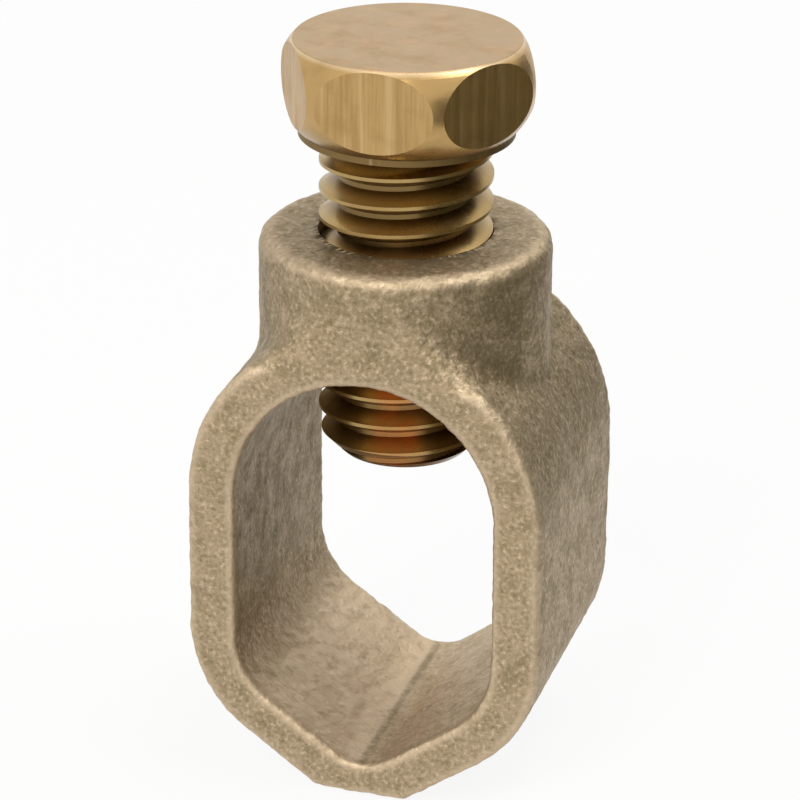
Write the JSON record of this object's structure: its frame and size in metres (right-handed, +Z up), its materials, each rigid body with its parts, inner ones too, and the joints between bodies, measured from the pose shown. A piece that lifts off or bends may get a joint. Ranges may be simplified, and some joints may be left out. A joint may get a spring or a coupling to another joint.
{
  "type": "earth rod clamp",
  "caption": "Cast bronze earth rod clamp: a slot-shaped ring with a V seat and a tapped boss, and a hexagon-head screw that closes on the rod.",
  "frame": {"origin": "on the foot, under the middle of the clamp", "axes": "+Z up along the screw, +Y along the earth rod towards the back, +X to the right"},
  "size_m": [0.0202, 0.0162, 0.042],
  "materials": {
    "cast_bronze": "matte, as cast",
    "bolt_bronze": "machined, slightly dull"
  },
  "bodies": {
    "clamp_body": {"clamp_body": "cast_bronze"},
    "hex_bolt": {"hex_bolt": "bolt_bronze"}
  },
  "joints": [
    {"name": "screw_travel", "type": "slide", "parent": "clamp_body", "child": "hex_bolt", "axis": [0, 0, 1], "range_m": [-0.00476, 0.00635]}
  ]
}
